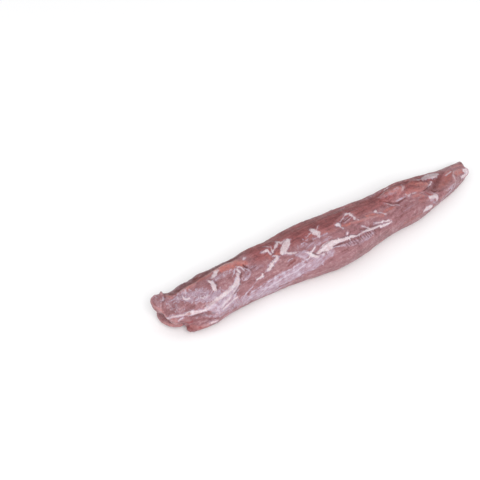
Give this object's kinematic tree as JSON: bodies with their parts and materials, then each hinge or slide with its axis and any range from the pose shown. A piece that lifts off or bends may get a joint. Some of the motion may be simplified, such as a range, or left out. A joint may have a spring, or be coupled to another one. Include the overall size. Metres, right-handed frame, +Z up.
{
  "type": "raw pork tenderloin",
  "caption": "Whole raw pork tenderloin, a long tapering loin with a layered cut head, a silver skin ribbon and a thin tail, resting on its flat underside.",
  "frame": {"origin": "middle of the underside, at the level it rests on", "axes": "+X along the loin from the thick cut head to the thin tail, +Z up, -Y towards the near side that carries the silver skin"},
  "size_m": [0.3518, 0.0574, 0.0373],
  "materials": {
    "raw_meat": "moist satin raw pork with silver skin and streaks of fat"
  },
  "bodies": {
    "root": {"tenderloin": "raw_meat"}
  },
  "joints": []
}
